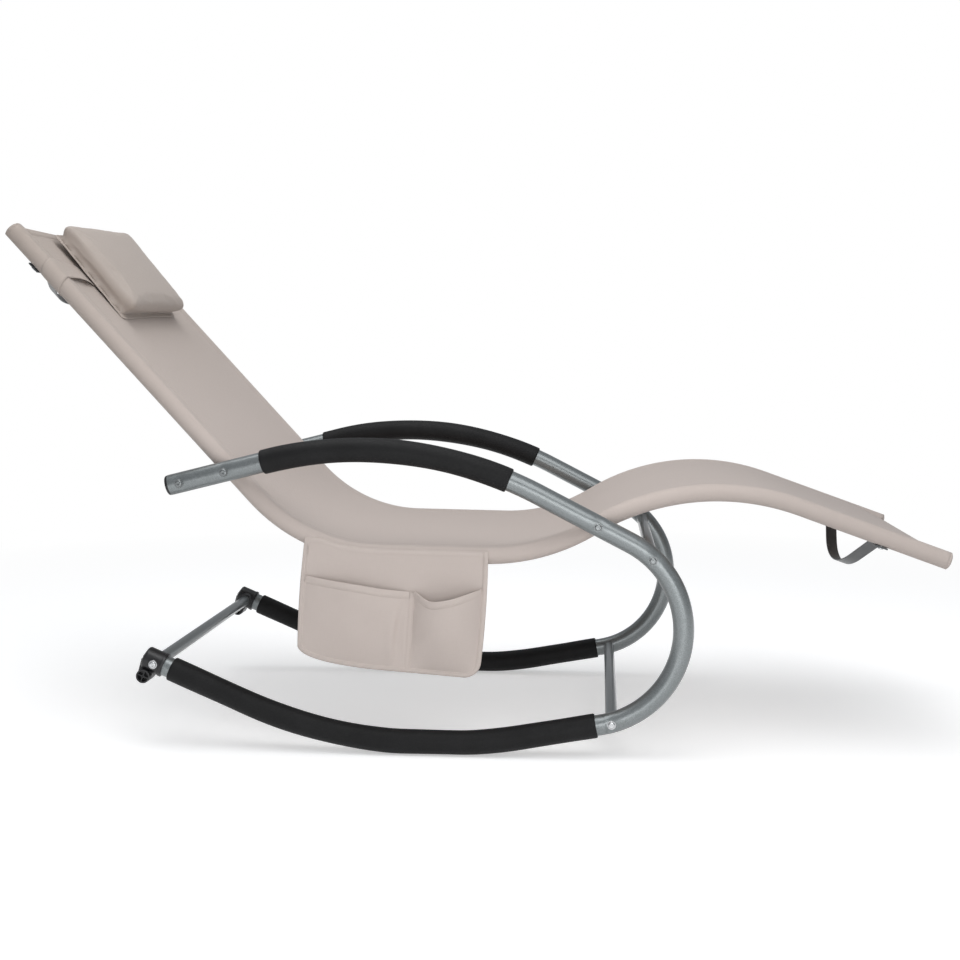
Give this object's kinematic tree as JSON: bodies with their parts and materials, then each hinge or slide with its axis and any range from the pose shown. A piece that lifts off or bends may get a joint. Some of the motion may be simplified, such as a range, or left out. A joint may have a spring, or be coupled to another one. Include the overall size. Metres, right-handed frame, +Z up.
{
  "type": "rocking chaise lounge",
  "caption": "Rocking chaise lounge with bent tube side frames, foam-sleeved rockers and arms, a sling seat, a strapped headrest pillow and a side pouch with pockets",
  "frame": {"origin": "on the floor, under the middle of the chair's bounding box", "axes": "+X towards the foot end, +Y towards the lying person's left, +Z up"},
  "size_m": [1.4742, 0.6216, 0.843],
  "materials": {
    "paint": "silver-grey powder coat, satin",
    "foam": "black closed-cell foam, matt",
    "plastic": "black moulded plastic, satin",
    "zinc": "zinc plated",
    "cloth": "taupe woven polyester mesh"
  },
  "bodies": {
    "frame": {"foot_bow": "paint", "front_low_bar": "paint", "front_top_bar": "paint", "head_bow": "paint", "left_arm_end_plug": "plastic", "left_arm_grip": "foam", "left_arm_hoop": "paint", "left_foot_bow_screw": "zinc", "left_front_bar_bolt": "zinc", "left_front_low_bar_insert": "zinc", "left_front_rail_bolt": "zinc", "left_front_spacer": "plastic", "left_front_top_bar_insert": "zinc", "left_head_bow_screw": "zinc", "left_low_bar_bolt": "zinc", "left_rail_foot_cap": "plastic", "left_rail_head_cap": "plastic", "left_rear_bar_bolt": "zinc", "left_rear_low_bar_insert": "zinc", "left_rear_rail_bolt": "zinc", "left_rear_spacer": "plastic", "left_rear_top_bar_insert": "zinc", "left_rocker_grip": "foam", "left_rocker_tube": "paint", "left_seat_rail": "paint", "left_tail_bolt": "zinc", "left_tail_fitting": "plastic", "rear_low_bar": "paint", "rear_top_bar": "paint", "right_arm_end_plug": "plastic", "right_arm_grip": "foam", "right_arm_hoop": "paint", "right_foot_bow_screw": "zinc", "right_front_bar_bolt": "zinc", "right_front_low_bar_insert": "zinc", "right_front_rail_bolt": "zinc", "right_front_spacer": "plastic", "right_front_top_bar_insert": "zinc", "right_head_bow_screw": "zinc", "right_low_bar_bolt": "zinc", "right_rail_foot_cap": "plastic", "right_rail_head_cap": "plastic", "right_rear_bar_bolt": "zinc", "right_rear_low_bar_insert": "zinc", "right_rear_rail_bolt": "zinc", "right_rear_spacer": "plastic", "right_rear_top_bar_insert": "zinc", "right_rocker_grip": "foam", "right_rocker_tube": "paint", "right_seat_rail": "paint", "right_tail_bolt": "zinc", "right_tail_fitting": "plastic", "sling": "cloth"},
    "headrest": {"headrest_pillow": "cloth", "headrest_band": "cloth"},
    "side_pouch": {"pouch_back": "cloth", "large_pocket": "cloth", "small_pocket": "cloth"}
  },
  "joints": [
    {"name": "headrest_slide", "type": "slide", "parent": "frame", "child": "headrest", "axis": [0.6755, 0, -0.7373], "range_m": [0, 0.15]},
    {"name": "pouch_swing", "type": "hinge", "parent": "frame", "child": "side_pouch", "pos_m": [-0.1113, -0.2687, 0.3275], "axis": [-0.9974, 0, 0.0715], "range_deg": [0, 40]}
  ]
}
